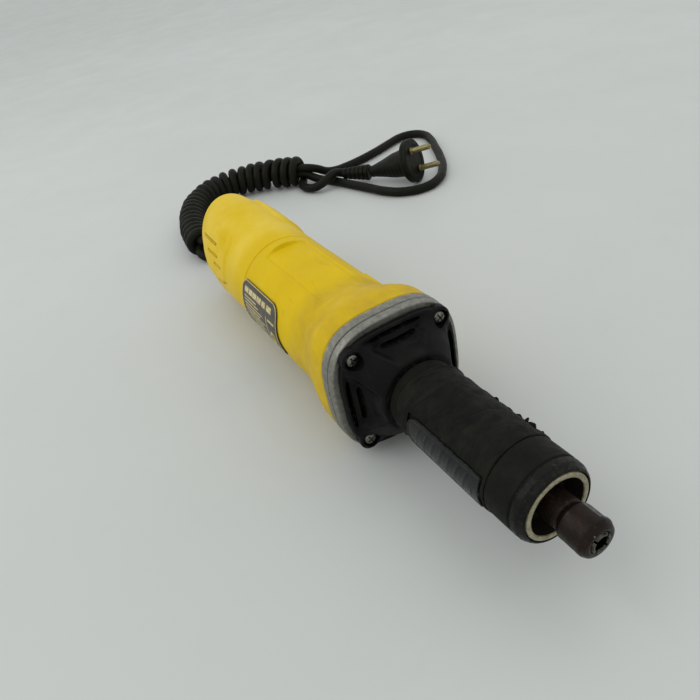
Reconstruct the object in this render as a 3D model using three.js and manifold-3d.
// Long-neck electric die grinder, mains powered, with a 6 mm collet.
// Millimetres, +Z up. The tool lies level: its axis is parallel to X, the collet points to +X,
// the rating-plate side is -Y, and z = 0 is the surface the tool and its cord rest on.
import * as THREE from 'three';
import { mergeVertices } from 'three/addons/utils/BufferGeometryUtils.js';
import Module from 'manifold-3d';

const wasm = await Module();
wasm.setup();

// ---- driving dimensions ----
const AXIS_H = 34.8;            // height of the tool axis above the resting surface
const X_REAR = -169;            // rear face of the tool
const X_SEAM = -76;             // joint between rear cover and motor housing
const X_HOUSING_FRONT = 36;     // front face of the motor housing
const X_PLATE_FRONT = 41.7;     // front face of the bearing plate
const X_FLANGE_FRONT = 46.4;    // front face of the nose casting flange
const X_COVER_FRONT = 49.4;     // front face of the vent cover plate
const X_NECK_FRONT = 149.2;     // front face of the neck
const X_TIP = 169;              // tip of the collet
const R_BARREL = 30.3;          // motor housing radius
const R_BARREL_IN = 27.4;
const H_FLANGE = 34.6;          // half width across the flats of the flange
const P_FLANGE = 3.0;           // squareness of the flange outline
const R_NECK = 17.8;            // outside of the rubber on the neck
const R_TUBE = 14.9;            // outside of the metal neck tube
const R_SCREWS = 33.2;          // radius of the four flange screws
const CORD_D = 7.6;
const X_ORIGIN = 11.5;          // the frame's origin is at the middle of the tool's own length, cord protector included
const GAP = 0.3;

// ---- geometry helpers ----
function finish(geom) {
  const g0 = geom.index ? geom.toNonIndexed() : geom.clone();
  for (const k of Object.keys(g0.attributes)) if (k !== 'position') g0.deleteAttribute(k);
  const g = mergeVertices(g0, 1e-4);
  const p = g.attributes.position.array, idx = g.index.array, tri = [];
  for (let i = 0; i < idx.length; i += 3) {
    const [a, b, c] = [idx[i], idx[i + 1], idx[i + 2]];
    if (a !== b && b !== c && a !== c) tri.push(a, b, c);
  }
  let vol = 0;
  for (let i = 0; i < tri.length; i += 3) {
    const [a, b, c] = [tri[i] * 3, tri[i + 1] * 3, tri[i + 2] * 3];
    vol += p[a] * (p[b + 1] * p[c + 2] - p[b + 2] * p[c + 1])
         - p[a + 1] * (p[b] * p[c + 2] - p[b + 2] * p[c])
         + p[a + 2] * (p[b] * p[c + 1] - p[b + 1] * p[c]);
  }
  if (vol < 0) for (let i = 0; i < tri.length; i += 3) [tri[i + 1], tri[i + 2]] = [tri[i + 2], tri[i + 1]];
  g.setIndex(tri);
  return g;
}
function solid(geom) {
  const g = finish(geom);
  return new wasm.Manifold(new wasm.Mesh({
    numProp: 3,
    vertProperties: new Float32Array(g.attributes.position.array),
    triVerts: new Uint32Array(g.index.array),
  }));
}
function geometry(man) {
  const m = man.getMesh();
  const g = new THREE.BufferGeometry();
  const n = m.numProp, v = m.vertProperties, out = new Float32Array(v.length / n * 3);
  for (let i = 0; i < v.length / n; i++) for (let k = 0; k < 3; k++) out[i * 3 + k] = v[i * n + k];
  g.setAttribute('position', new THREE.BufferAttribute(out, 3));
  g.setIndex(Array.from(m.triVerts));
  return g;
}
const join = (...s) => s.reduce((a, b) => a.add(b));
const cut = (a, ...s) => s.reduce((x, y) => x.subtract(y), a);
// body of revolution about the tool axis; profile is a list of [x, radius]
function latheG(profile, segs = 24) {
  const pts = profile.map(([x, r]) => new THREE.Vector2(Math.max(r, 0), x));
  if (profile[0][1] > 0) pts.push(pts[0].clone());
  return new THREE.LatheGeometry(pts, segs).rotateZ(-Math.PI / 2).rotateX(Math.PI / segs);
}
const lathe = (profile, segs) => solid(latheG(profile, segs));
// round bar or tube parallel to X
function bar(x0, x1, r, y = 0, z = 0, segs = 12) {
  return solid(new THREE.CylinderGeometry(r, r, x1 - x0, segs).rotateZ(-Math.PI / 2).translate((x0 + x1) / 2, y, z));
}
function tube(x0, x1, r, ri, segs = 24) {
  return lathe([[x0, ri], [x0, r], [x1, r], [x1, ri]], segs);
}
function box(x0, x1, y0, y1, z0, z1) {
  return solid(new THREE.BoxGeometry(x1 - x0, y1 - y0, z1 - z0).translate((x0 + x1) / 2, (y0 + y1) / 2, (z0 + z1) / 2));
}
// closed loft through rings: each ring is { x, r: angle -> radius }; a closed loop or capped at both ends
function loft(rings, loop = false, n = 36) {
  const pos = [], idx = [];
  for (const s of rings) {
    for (let j = 0; j < n; j++) {
      const t = (j / n) * 2 * Math.PI;
      const r = typeof s.r === 'function' ? s.r(t) : s.r;
      pos.push(s.x, r * Math.cos(t), r * Math.sin(t));
    }
  }
  const m = rings.length;
  for (let i = 0; i < (loop ? m : m - 1); i++) {
    const k = (i + 1) % m;
    for (let j = 0; j < n; j++) {
      const j2 = (j + 1) % n;
      idx.push(i * n + j, k * n + j, k * n + j2, i * n + j, k * n + j2, i * n + j2);
    }
  }
  if (!loop) {
    const a = pos.length / 3;
    pos.push(rings[0].x, 0, 0, rings[m - 1].x, 0, 0);
    for (let j = 0; j < n; j++) {
      const j2 = (j + 1) % n;
      idx.push(a, j, j2, a + 1, (m - 1) * n + j2, (m - 1) * n + j);
    }
  }
  const g = new THREE.BufferGeometry();
  g.setAttribute('position', new THREE.BufferAttribute(new Float32Array(pos), 3));
  g.setIndex(idx);
  return solid(g);
}
// outline radius laws
const squarish = (half, p) => (t) => half / Math.pow(Math.abs(Math.cos(t)) ** p + Math.abs(Math.sin(t)) ** p, 1 / p);
const ellipse = (a, b) => (t) => 1 / Math.sqrt((Math.cos(t) / a) ** 2 + (Math.sin(t) / b) ** 2);
const mix = (f, g, k) => (t) => f(t) * (1 - k) + g(t) * k;
const grow = (f, d) => (t) => f(t) + d;
const scaled = (f, s) => (t) => f(t) * s;
// cuts the barrel outline to a flat over the top
const flatTop = (f, h) => (t) => (Math.sin(t) > 0.3 ? Math.min(f(t), h / Math.sin(t)) : f(t));
const circle = (r) => () => r;

// tube of round section along a smooth path through the points (resting-frame coordinates)
function cordTube(points, d, steps = 24, segs = 10, sx = 1) {
  const curve = new THREE.CatmullRomCurve3(points.map((p) => new THREE.Vector3(...p)), false, 'centripetal');
  const shape = new THREE.Shape();
  for (let i = 0; i < segs; i++) {
    const a = (i / segs) * 2 * Math.PI;
    const x = Math.cos(a) * d / 2 * sx, y = Math.sin(a) * d / 2;
    if (i === 0) shape.moveTo(x, y); else shape.lineTo(x, y);
  }
  shape.closePath();
  return solid(new THREE.ExtrudeGeometry(shape, { steps, bevelEnabled: false, extrudePath: curve }));
}

// ---- materials ----
const mat = (color, roughness, metalness) => new THREE.MeshStandardMaterial({ color, roughness, metalness });
const M = {
  yellow: mat(0xf2c318, 0.5, 0), metal: mat(0xa9acab, 0.42, 0.9), black: mat(0x1e1e1d, 0.55, 0),
  rubber: mat(0x262623, 0.8, 0), tape: mat(0x2b2a26, 0.75, 0), badge: mat(0x161616, 0.25, 0),
  plate: mat(0x2a2118, 0.35, 0.2), screw: mat(0x77766f, 0.4, 0.9), rust: mat(0x3a2418, 0.7, 0.6),
  steel: mat(0x9a9a96, 0.35, 0.95), race: mat(0xb9b9b4, 0.25, 0.95), copper: mat(0xb5683a, 0.35, 0.8),
  core: mat(0x6b6b68, 0.5, 0.8), carbon: mat(0x1a1a1a, 0.6, 0.1), brass: mat(0xb89a55, 0.35, 0.9),
  fibre: mat(0x7a5a3a, 0.7, 0), cord: mat(0x2c2b25, 0.6, 0), white: mat(0xd8d6c8, 0.6, 0),
  spring: mat(0xa0a09a, 0.35, 0.9), ring: mat(0xc8c3ac, 0.6, 0.3),
};

const grinder = new THREE.Group();
grinder.name = 'die_grinder';
const tool = new THREE.Group();          // everything on the tool axis
tool.position.set(X_ORIGIN, 0, AXIS_H);
const floor = new THREE.Group();         // the cord, in resting-surface coordinates
floor.position.set(X_ORIGIN, 0, 0);
grinder.add(tool, floor);
function put(parent, name, man, material) {
  const mesh = new THREE.Mesh(man instanceof THREE.BufferGeometry ? finish(man) : geometry(man), material);
  mesh.name = name;
  parent.add(mesh);
  return mesh;
}
const add = (name, man, material) => put(tool, name, man, material);

// =====================================================================
// motor housing: round barrel with a flat top panel, flaring to the flange outline
// =====================================================================
const flange = squarish(H_FLANGE, P_FLANGE);
const barrel = circle(R_BARREL);
const panelH = 28.9;
{
  const panel = flatTop(barrel, panelH);
  const o = [
    { x: X_SEAM + 0.15, r: barrel }, { x: -67, r: barrel }, { x: -65.6, r: panel },
    { x: -2, r: panel }, { x: 6, r: mix(barrel, flange, 0.06) }, { x: 13, r: mix(barrel, flange, 0.38) },
    { x: 20, r: mix(barrel, flange, 0.8) },
    { x: X_HOUSING_FRONT - 0.15, r: flange },
  ];
  const i = [
    { x: X_HOUSING_FRONT - 0.15, r: grow(flange, -3.4) }, { x: 24, r: grow(mix(barrel, flange, 0.6), -3.4) },
    { x: 10, r: R_BARREL_IN }, { x: X_SEAM + 0.15, r: R_BARREL_IN },
  ];
  let s = loft([...o, ...i], true, 40);
  // brush-side pad in front of the rating plate, one each side
  const pad = loft([
    { x: -20, r: R_BARREL - 0.5 }, { x: -18.6, r: R_BARREL + 0.7 }, { x: 2, r: R_BARREL + 0.7 }, { x: 6, r: R_BARREL - 0.5 },
  ], false, 40);
  for (const side of [-1, 1]) {
    const w = pad.intersect(box(-40, 20, side < 0 ? -40 : 22, side < 0 ? -22 : 40, -21, 21));
    s = s.add(w.subtract(lathe([[-70, 0], [-70, R_BARREL_IN + 0.6], [30, R_BARREL_IN + 0.6], [30, 0]], 40)));
  }
  // seats for the flange screws
  for (const k of [0, 1, 2, 3]) {
    const a = Math.PI / 4 + k * Math.PI / 2, y = R_SCREWS * Math.cos(a), z = R_SCREWS * Math.sin(a);
    s = s.add(bar(22, X_HOUSING_FRONT - 0.15, 4.2, y, z, 8).intersect(loft([{ x: 20, r: grow(mix(barrel, flange, 0.8), -0.6) }, { x: 28, r: grow(flange, -0.6) }, { x: 36, r: grow(flange, -0.6) }], false, 40)));
    s = s.subtract(bar(24.5, 40, 2.3, y, z, 8));
  }
  add('motor_housing', s, M.yellow);
}

// =====================================================================
// rear cover: taller than wide at the end, vent slots on both sides, switch opening on +Y
// =====================================================================
const endShape = ellipse(24.6, 34.7);
const SWITCH = { x0: -152, x1: -130, z0: -7, z1: 7 };
{
  const shape = (k, kz) => mix(mix(endShape, ellipse(R_BARREL - 0.2, 34.7), k), barrel, kz);
  const o = [
    { x: X_REAR + 0.05, r: scaled(endShape, 0.82) }, { x: X_REAR + 1.8, r: scaled(endShape, 0.94) },
    { x: X_REAR + 7, r: endShape },
    { x: -154, r: shape(0.35, 0) }, { x: -143, r: shape(0.75, 0.05) }, { x: -128, r: shape(1, 0.25) },
    { x: -100, r: shape(1, 0.75) }, { x: X_SEAM - 0.15, r: barrel },
  ];
  const inner = [
    { x: X_SEAM - 0.15, r: grow(barrel, -2.8) }, { x: -128, r: grow(shape(1, 0.25), -2.8) },
    { x: -160, r: grow(endShape, -2.8) }, { x: X_REAR + 3, r: grow(scaled(endShape, 0.93), -2.8) },
  ];
  let s = cut(loft(o, false, 40), loft([...inner].reverse(), false, 40));
  s = cut(s, bar(-175, -160, 7.7, 0, 0, 16));                        // cord hole
  // vent slots, staggered, on both sides
  for (const side of [-1, 1]) {
    for (const [deg, xa, xb] of [[40, -150, -125], [27, -137, -118], [15, -127, -112], [-2, -122, -106]]) {
      const a = deg * Math.PI / 180;
      const slot = solid(new THREE.BoxGeometry(xb - xa, 14, 2.6).translate((xa + xb) / 2, 29, 0).rotateX(a));
      s = cut(s, side > 0 ? slot : slot.mirror([0, 1, 0]));
    }
  }
  s = cut(s, box(SWITCH.x0, SWITCH.x1, 10, 40, SWITCH.z0, SWITCH.z1));
  for (const z of [-22, 22]) s = cut(s, bar(-175, -158, 2.0, 0, z, 8), bar(-175, X_REAR + 1.6, 3.8, 0, z, 12));
  add('rear_cover', s, M.yellow);
}
// two screws in the rear face
for (const [n, z] of [['rear_screw_lower', -22], ['rear_screw_upper', 22]]) {
  let s = join(bar(X_REAR + 1.4, -158.5, 1.6, 0, z, 8), bar(X_REAR - 0.6, X_REAR + 1.5, 3.2, 0, z, 12));
  s = cut(s, box(X_REAR - 1, X_REAR + 0.4, -2.4, 2.4, z - 0.4, z + 0.4), box(X_REAR - 1, X_REAR + 0.4, -0.4, 0.4, z - 2.4, z + 2.4));
  add(n, s, M.screw);
}

// rating plate: thin curved plate on the -Y side
{
  const shell = tube(-74.5, -26.5, R_BARREL + 1.1, R_BARREL + 0.28, 60);
  add('rating_plate', shell.intersect(box(-80, -20, -40, -20, -17.2, 17.2)), M.plate);
}

// =====================================================================
// cord entry: tapered rubber protector and the clamp inside
// =====================================================================
add('cord_protector', cut(lathe([
  [-163.5, 0], [-163.5, 9.6], [-165.8, 9.6], [-165.8, 7.1], [-169.5, 7.1], [-169.5, 8.4], [-172, 8.4],
  [-174, 7.2], [-179, 6.9], [-185, 6.3], [-192, 5.4], [-192, 0]], 16),
  bar(-195, -160, CORD_D / 2 + GAP, 0, 0, 14)), M.rubber);
{
  // bridge clamp holding the cord against a rib of the rear cover
  let s = cut(box(-158, -150.5, -12, 9.2, CORD_D / 2 + GAP, CORD_D / 2 + 4), bar(-170, -140, CORD_D / 2 + GAP, 0, 0, 14));
  add('cord_clamp', s, M.black);
}

// =====================================================================
// rocker switch on +Y
// =====================================================================
{
  const x0 = SWITCH.x0 + GAP, x1 = SWITCH.x1 - GAP, z0 = SWITCH.z0 + GAP, z1 = SWITCH.z1 - GAP;
  let s = join(box(x0, x1, 11, 26.5, z0, z1));
  s = s.add(box(x0, x1, 26.4, 31.3, z0, z1));
  s = cut(s, box(x0 + 1.6, x1 - 1.6, 22, 40, z0 + 1.6, z1 - 1.6));
  add('switch_body', s, M.black);
  const w = (x1 - x0) / 2 - 1.6 - GAP, xc = (x0 + x1) / 2;
  const sh = new THREE.Shape();
  sh.moveTo(-w + 0.8, -5.2); sh.lineTo(w - 0.8, -5.2); sh.lineTo(w - 0.2, 1.2); sh.lineTo(0, 0.2); sh.lineTo(-w + 1.2, 2.4);
  sh.closePath();
  const hz = z1 - 1.6 - GAP;
  const r = new THREE.ExtrudeGeometry(sh, { depth: 2 * hz, bevelEnabled: false }).translate(xc, 29.6, -hz);
  add('switch_rocker', solid(r), M.rubber);
}
add('interference_capacitor', solid(new THREE.BoxGeometry(19, 9, 15).translate(-141, -8.5, -1)), M.white);

// =====================================================================
// stator: laminated core and two coils
// =====================================================================
{
  let s = cut(tube(-44, 12, R_BARREL_IN - GAP, 18.4, 28));
  for (const k of [-1, 1]) s = cut(s, solid(new THREE.BoxGeometry(80, 8, 13).translate(-16, k * 19.5, 0)));
  for (const side of [-1, 1]) for (const k of [-1, 1]) {
    const slot = solid(new THREE.CylinderGeometry(4.2, 4.2, 90, 8).rotateZ(-Math.PI / 2).translate(-16, side * 17.6, k * 13.6));
    s = cut(s, slot);
  }
  add('field_core', s, M.core);
  for (const [n, k] of [['field_coil_lower', -1], ['field_coil_upper', 1]]) {
    let c = null;
    for (const side of [-1, 1]) {
      const leg = bar(-50, 17, 3.6, side * 17.6, k * 13.6, 8);
      c = c ? c.add(leg) : leg;
    }
    for (const [xa, xb] of [[-54, -49], [16.2, 20.6]]) {
      const arc = tube(xa, xb, 25.6, 19.2, 20).intersect(box(-60, 30, -22.6, 22.6, k < 0 ? -40 : 11, k < 0 ? -11 : 40));
      c = c.add(arc);
    }
    add(n, c, M.copper);
  }
}

// fan baffle between fan and stator
add('fan_baffle', cut(lathe([[23.8, 21], [23.8, 26.9], [25.6, 26.9], [25.6, 21]], 24)), M.black);

// =====================================================================
// brush gear on the +-Z sides of the commutator
// =====================================================================
const X_BRUSH = -84;
for (const [nm, sg] of [['lower', -1], ['upper', 1]]) {
  const z0 = 13.5, z1 = 26.6;
  const B = (x0, x1, y0, y1, a, b) => (sg > 0 ? box(x0, x1, y0, y1, a, b) : box(x0, x1, y0, y1, -b, -a));
  let h = cut(B(X_BRUSH - 6.5, X_BRUSH + 6.5, -5, 5, z0, z1), B(X_BRUSH - 4.3, X_BRUSH + 4.3, -2.8, 2.8, z0 - 1, z1 - 1.4));
  add(`brush_holder_${nm}`, h, M.brass);
  add(`carbon_brush_${nm}`, B(X_BRUSH - 4, X_BRUSH + 4, -2.5, 2.5, 11.9, 19.4), M.carbon);
  // helical spring behind the brush, modelled as a coil of wire
  const pts = [];
  const turns = 4, ra = 1.9;
  for (let i = 0; i <= turns * 6; i++) {
    const a = (i / 6) * 2 * Math.PI, z = 20.1 + (i / (turns * 6)) * 4.5;
    pts.push(new THREE.Vector3(X_BRUSH + ra * Math.cos(a), ra * Math.sin(a), sg * z));
  }
  const sh = new THREE.Shape();
  for (let i = 0; i < 4; i++) { const a = (i / 4) * 2 * Math.PI; if (i) sh.lineTo(0.3 * Math.cos(a), 0.3 * Math.sin(a)); else sh.moveTo(0.3, 0); }
  sh.closePath();
  add(`brush_spring_${nm}`, solid(new THREE.ExtrudeGeometry(sh, { steps: turns * 6, bevelEnabled: false, extrudePath: new THREE.CatmullRomCurve3(pts) })), M.spring);
}
// rear bearing carrier, a rubber-lined cup held by the housing spider
add('rear_bearing_carrier', cut(join(
  lathe([[-109, 0], [-109, 14.2], [-96.6, 14.2], [-96.6, 0]], 20),
  cut(box(-106.8, -100, -27.2, 27.2, -3, 3), tube(-120, -90, 40, 26.6, 20)),
), lathe([[-107.2, 0], [-107.2, 5.4], [-105.2, 5.4], [-105.2, 11.3], [-96, 11.3], [-96, 0]], 20)), M.black);

// =====================================================================
// bearing plate (first metal layer), nose casting with flange and neck (second metal layer)
// =====================================================================
const inside = (x0, x1, f) => loft([{ x: x0, r: f }, { x: x1, r: f }], false, 40);
{
  let s = inside(X_HOUSING_FRONT + 0.15, X_PLATE_FRONT - 0.1, grow(flange, 0.2));
  s = s.add(lathe([[27.6, 0], [27.6, 15.2], [37, 15.2], [37, 0]], 24));
  s = cut(s, lathe([[27, 0], [27, 13.3], [36.6, 13.3], [36.6, 9], [60, 9], [60, 0]], 24));
  for (let k = 0; k < 4; k++) {                              // air passages
    const a = k * Math.PI / 2;
    const w = solid(new THREE.BoxGeometry(20, 8, 26).translate(40, 22.5, 0).rotateX(a));
    s = cut(s, w);
  }
  for (let k = 0; k < 4; k++) {
    const a = Math.PI / 4 + k * Math.PI / 2;
    s = cut(s, bar(30, 60, 2.3, R_SCREWS * Math.cos(a), R_SCREWS * Math.sin(a), 8));
  }
  add('bearing_plate', s, M.metal);
}
{
  let s = inside(X_PLATE_FRONT + 0.1, X_FLANGE_FRONT, flange);
  s = s.add(lathe([[44, 0], [44, 19], [60, 17.2], [62, R_TUBE], [X_NECK_FRONT - 0.8, R_TUBE], [X_NECK_FRONT, R_TUBE - 0.7], [X_NECK_FRONT, 0]], 32));
  s = cut(s, lathe([[40, 0], [40, 11], [52, 11], [52, 9.4], [57, 9.4], [57, 11.3], [66.2, 11.3], [66.2, 9.4],
    [124, 9.4], [124, 11.3], [134.2, 11.3], [134.2, 12.4], [155, 12.6], [155, 0]], 32));
  for (let k = 0; k < 4; k++) {
    const a = k * Math.PI / 2;
    s = cut(s, solid(new THREE.BoxGeometry(4.9, 5.5, 24).translate(44.2, 24, 0).rotateX(a)));
  }
  for (let k = 0; k < 4; k++) {
    const a = Math.PI / 4 + k * Math.PI / 2;
    s = cut(s, bar(30, 60, 2.3, R_SCREWS * Math.cos(a), R_SCREWS * Math.sin(a), 8));
  }
  add('nose_casting', s, M.metal);
}

// =====================================================================
// front vent cover: black plastic plate with four arms rising to the collar
// =====================================================================
{
  const outline = squarish(31.6, 3.9);
  let s = inside(X_FLANGE_FRONT + 0.2, X_COVER_FRONT, outline);
  s = s.add(loft([{ x: X_FLANGE_FRONT + 0.4, r: grow(outline, -3) }, { x: X_COVER_FRONT + 0.2, r: grow(outline, -4.6) },
    { x: 54.5, r: circle(21.8) }, { x: 63.9, r: circle(19.3) }], false, 40));
  // hollow behind the arms, leaving a shell over the neck root
  s = cut(s, lathe([[40, 0], [40, 22.2], [47.4, 22.2], [50, 20.4], [60.3, 17.7], [62.3, 15.4], [70, 15.4], [70, 0]], 28));
  // vent slots, two or three parallel to each side between the arms
  for (let k = 0; k < 4; k++) {
    const a = k * Math.PI / 2;
    for (const [off, w] of [[21.4, 9], [25.6, 15]]) {
      s = cut(s, solid(new THREE.BoxGeometry(16, 1.9, 2 * w).translate(52, off, 0).rotateX(a)));
    }
  }
  for (let k = 0; k < 4; k++) {
    const a = Math.PI / 4 + k * Math.PI / 2, y = R_SCREWS * Math.cos(a), z = R_SCREWS * Math.sin(a);
    s = cut(s, bar(40, 60, 2.3, y, z, 8), bar(X_FLANGE_FRONT + 1.9, 60, 3.8, y, z, 12));
  }
  add('vent_cover', s, M.black);
}
{
  const names = ['flange_screw_right_upper', 'flange_screw_left_upper', 'flange_screw_left_lower', 'flange_screw_right_lower'];
  for (let k = 0; k < 4; k++) {
    const a = Math.PI / 4 + k * Math.PI / 2, y = R_SCREWS * Math.cos(a), z = R_SCREWS * Math.sin(a);
    let s = join(bar(25, X_FLANGE_FRONT + 2.2, 1.9, y, z, 8), bar(X_FLANGE_FRONT + 2.1, X_FLANGE_FRONT + 4.4, 3.2, y, z, 12));
    s = cut(s, box(X_FLANGE_FRONT + 3.4, 60, y - 2.3, y + 2.3, z - 0.45, z + 0.45), box(X_FLANGE_FRONT + 3.4, 60, y - 0.45, y + 0.45, z - 2.3, z + 2.3));
    add(names[k], s, M.screw);
  }
}

// =====================================================================
// neck dressing: rubber sleeve, tape wrap, end band and badge strip
// =====================================================================
{
  const base = R_TUBE + GAP;
  add('neck_sleeve', lathe([[64.6, base], [64.6, 17.4], [72, 17.3], [76.6, 17.4], [129.0, 17.2], [129.0, base]], 24), M.rubber);
  // tape wound over the middle of the sleeve
  const wrap = tube(71.6, 128.4, R_NECK + 0.2, 17.65, 24);
  const badgeCut = box(79, 127.6, -30, 0, -10, 9.2);
  add('grip_tape', cut(wrap, badgeCut), M.tape);
  const strip = tube(80.5, 126.6, R_NECK + 0.8, 17.65, 32).intersect(box(80, 127, -30, 0, -9, 8.2));
  add('neck_badge', strip, M.badge);
  add('end_band', lathe([[129.5, base], [129.5, R_NECK], [142.6, R_NECK], [143.2, R_NECK - 0.6], [147.6, R_NECK - 0.9], [X_NECK_FRONT, R_NECK - 1.8], [X_NECK_FRONT, base]], 32), M.rubber);
}

// =====================================================================
// rotor: armature on its shaft, coupling, spindle and bearings
// =====================================================================
// bearings: [name, x0, x1, outer radius, bore radius]
const BEARINGS = [
  ['armature_rear_bearing', -104.9, -97.9, 11, 4],
  ['armature_front_bearing', 28.2, 36.2, 13, 5],
  ['spindle_rear_bearing', 57.3, 65.9, 11, 6],
  ['spindle_front_bearing', 124.4, 133.8, 11, 6],
];
for (const [n, x0, x1, ro, ri] of BEARINGS) {
  const w = (ro - ri) * 0.3;
  add(`${n}_outer_race`, tube(x0, x1, ro, ro - w, 20), M.race);
  add(`${n}_inner_race`, tube(x0, x1, ri + w, ri + 0.15, 20), M.race);
}
add('armature_shaft', lathe([[-106.4, 0], [-106.4, 3.6], [-105.4, 4], [-97, 4], [-97, 5], [27.2, 5], [39.4, 5], [39.8, 4.4], [39.8, 0]], 16), M.steel);
{
  const r0 = 5.2;
  add('commutator', cut(tube(-93.5, -74.5, 11.4, r0, 24), ...Array.from({ length: 8 }, (_, i) => solid(new THREE.BoxGeometry(16, 1.6, 0.5).translate(-85, 11.4, 0).rotateX(i * Math.PI / 4)))), M.copper);
  let core = tube(-42, 10, 17.6, r0, 24);
  for (let i = 0; i < 8; i++) core = cut(core, bar(-50, 20, 1.9, 15 * Math.cos(i * Math.PI / 4), 15 * Math.sin(i * Math.PI / 4), 6));
  add('armature_core', core, M.core);
  let wnd = join(lathe([[-60, r0], [-60, 11.5], [-55, 15.6], [-43, 15.6], [-43, r0]], 24));
  // winding bars run through the core slots and join the two end turns
  for (let i = 0; i < 8; i++) wnd = wnd.add(bar(-44, 12, 1.15, 14.9 * Math.cos(i * Math.PI / 4), 14.9 * Math.sin(i * Math.PI / 4), 6));
  wnd = wnd.add(lathe([[11, r0], [11, 16.6], [15, 15.6], [19.4, 12], [19.4, r0]], 24));
  add('armature_winding', wnd, M.copper);
  // commutator neck insulation
  add('armature_insulator', tube(-73.9, -60.6, 8.4, r0, 20), M.fibre);
}
{
  let s = join(tube(20, 27, 8, 5.2, 20), tube(25.9, 27, 23.5, 5.2, 24));
  for (let k = 0; k < 9; k++) {
    s = s.add(solid(new THREE.BoxGeometry(5, 12.6, 1.2).translate(23.6, 14.2, 0).rotateX(k * 2 * Math.PI / 9)));
  }
  add('fan', s, M.black);
}
add('coupling', cut(bar(40.2, 53.6, 8.4, 0, 0, 20), bar(40, 47, 3, 0, 0, 6), bar(46, 55, 6.3, 0, 0, 16)), M.steel);
// spindle: hollow at the front to take the collet, threaded nose for the nut
add('spindle', lathe([[47.3, 0], [47.3, 6], [134.6, 6], [134.6, 7.6], [137.6, 7.6], [137.6, 6.8], [153.8, 6.8], [154.1, 6.5],
  [154.1, 5.4], [159.8, 5.4], [160.4, 4.9], [160.4, 4.5], [141, 3.6], [141, 0]], 24), M.rust);
add('labyrinth_seal', tube(136, 140.5, 12.0, 8.6, 24), M.steel);

// collet: split tapered sleeve with a 6 mm bore
{
  let s = lathe([[142, 0], [142, 3.25], [158.9, 4.05], [161.2, 4.1], [163.6, 5.55], [167.6, 4.3], [X_TIP, 4.3], [X_TIP, 0]], 24);
  s = cut(s, bar(141, 171, 3, 0, 0, 16));
  for (let k = 0; k < 4; k++) s = cut(s, solid(new THREE.BoxGeometry(22, 8, 0.6).translate(160.5, 4, 0).rotateX(k * Math.PI / 2 + Math.PI / 4)));
  add('collet', s, M.steel);
}
// collet nut: plain round nut with a chamfered nose, tapered seat inside
{
  let s = lathe([[154.4, 0], [154.4, 6.6], [156.2, 7.8], [157.4, 8.1], [165.6, 8.1], [167.6, 7.2], [168.4, 5.8], [168.4, 0]], 28);
  s = cut(s, lathe([[153, 0], [153, 5.75], [161.4, 5.75], [162.6, 5.95], [164.2, 5.95], [167.9, 4.65], [170, 4.65], [170, 0]], 24));
  add('collet_nut', s, M.rust);
}

// =====================================================================
// mains cord: lead, hank, free loop, plug
// =====================================================================
const R = CORD_D / 2;
const HANK_Z = 12.8;
const lead = [[-163, 0, AXIS_H], [-176, 0, AXIS_H], [-192, 0, AXIS_H], [-203, -1, 32.5], [-214, -4, 26], [-224, -8, 19]];
const hank = [[-232, -10.6], [-262, -6.5], [-290, 1.5], [-315, 14], [-331, 31], [-337, 50], [-333, 70], [-321, 91], [-308, 106], [-298, 118]]
  .map(([x, y]) => [x, y, HANK_Z]);
const loopPts = [[-295.6, 123.5, 14.8], [-294.9, 129.5, 12], [-294.9, 138, 6.9], [-295.3, 148, 4.2], [-294.8, 160, 4], [-296.8, 177, 4],
  [-303, 201, 4], [-310, 220.8, 4], [-314, 236, 4], [-309.5, 248.5, 4], [-297, 253.5, 4], [-282, 250, 4], [-258, 239, 4], [-234, 227, 4],
  [-208, 210.5, 4], [-191.5, 193, 4], [-187.5, 177, 4], [-194.5, 161, 4], [-208, 151.8, 4], [-228, 145.8, 4], [-252.5, 139.2, 4],
  [-270, 134.4, 4], [-281, 130.4, 4], [-288.6, 126.4, 4.6], [-292.4, 123.3, 6.2]];
const plugLead = [[-284.3, 109.3, 4.2], [-276.5, 109.3, 4.2], [-268.8, 114, 5.2], [-266.5, 122.5, 9.8], [-268.5, 131, 12.6], [-271.2, 136.8, 11.8], [-270.2, 140.6, 10.2]];
const PLUG_FACE = [-212, 186, 19.6], PLUG_AXIS = [0.788, 0.572, 0.228], PIN_LINE = [0.35, -0.1, 0.93];
put(floor, 'cord_lead', cordTube(lead, CORD_D, 12, 10), M.cord);
put(floor, 'cord_hank', cordTube(hank, 25, 16, 12), M.cord);
put(floor, 'cord_loop', cordTube(loopPts, CORD_D, 40, 8), M.cord);
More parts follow.
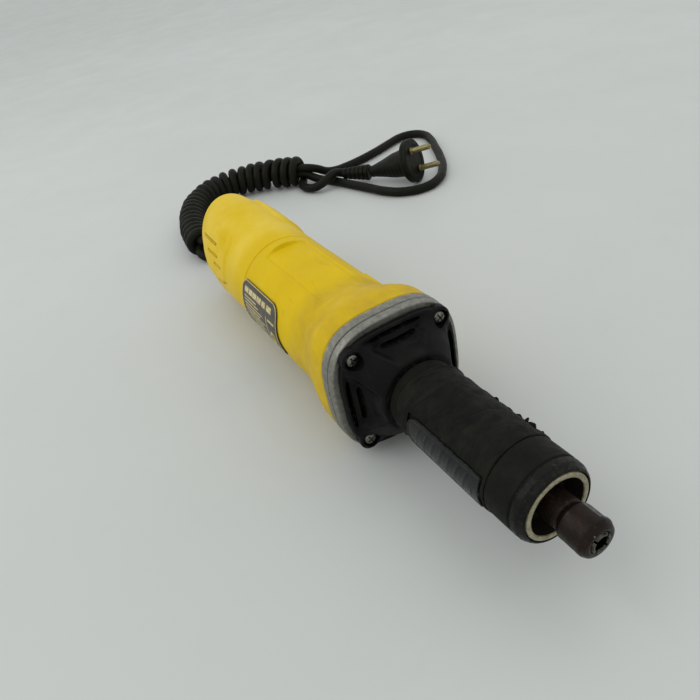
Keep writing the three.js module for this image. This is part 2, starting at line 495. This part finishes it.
put(floor, 'cord_plug_lead', cordTube(plugLead, CORD_D, 12, 8), M.cord);
{
  // ribbed strain relief, plug body with round face, two round pins
  const face = new THREE.Vector3(...PLUG_FACE), axis = new THREE.Vector3(...PLUG_AXIS).normalize();
  const a = new THREE.Vector3(-268.2, 143.2, 8.8), b = new THREE.Vector3(-248.6, 159.6, 9.1);
  const along = (geo, from, dir) => {
    const q = new THREE.Quaternion().setFromUnitVectors(new THREE.Vector3(0, 1, 0), dir.clone().normalize());
    return geo.applyQuaternion(q).translate(from.x, from.y, from.z);
  };
  const relief = [];
  const dirR = new THREE.Vector3().subVectors(b, a), Lr = dirR.length();
  relief.push(new THREE.Vector2(0, 0));
  for (let i = 0; i < 5; i++) {
    const y0 = (i / 5) * Lr, r1 = 4.9 + i * 0.45;
    relief.push(new THREE.Vector2(r1, y0 + (i ? 0.7 : 0)), new THREE.Vector2(r1, y0 + Lr / 5 - 0.7));
    if (i < 4) relief.push(new THREE.Vector2(r1 - 0.9, y0 + Lr / 5 - 0.5), new THREE.Vector2(r1 - 0.9, y0 + Lr / 5 + 0.5));
  }
  relief.push(new THREE.Vector2(0, Lr - 0.7));
  put(floor, 'plug_strain_relief', solid(along(new THREE.LatheGeometry(relief, 12), a, dirR)), M.cord);
  const Lp = 45;
  const body = [[0, 0], [4.6, 0], [5.2, 4], [7.4, 12], [10.8, 24], [12.2, 34], [12.6, 38], [18.4, 38.8], [18.7, 40.2], [18.7, 44], [18.1, 45], [0, 45]];
  const start = face.clone().addScaledVector(axis, -Lp);
  put(floor, 'plug_body', solid(along(new THREE.LatheGeometry(body.map(([r, y]) => new THREE.Vector2(r, y)), 18), start, axis)), M.cord);
  // pins: 19 mm apart, 4.8 mm in diameter
  const sep = new THREE.Vector3(...PIN_LINE);
  sep.addScaledVector(axis, -sep.dot(axis)).normalize();
  for (const [n, k] of [['plug_pin_upper', 1], ['plug_pin_lower', -1]]) {
    const p0 = face.clone().addScaledVector(axis, 0.3).addScaledVector(sep, 9.5 * k);
    const pin = [[0, 0], [2.4, 0], [2.4, 17.6], [1.5, 19], [0, 19.2]];
    put(floor, n, solid(along(new THREE.LatheGeometry(pin.map(([r, y]) => new THREE.Vector2(r, y)), 10), p0, axis)), M.brass);
  }
}

export default grinder;
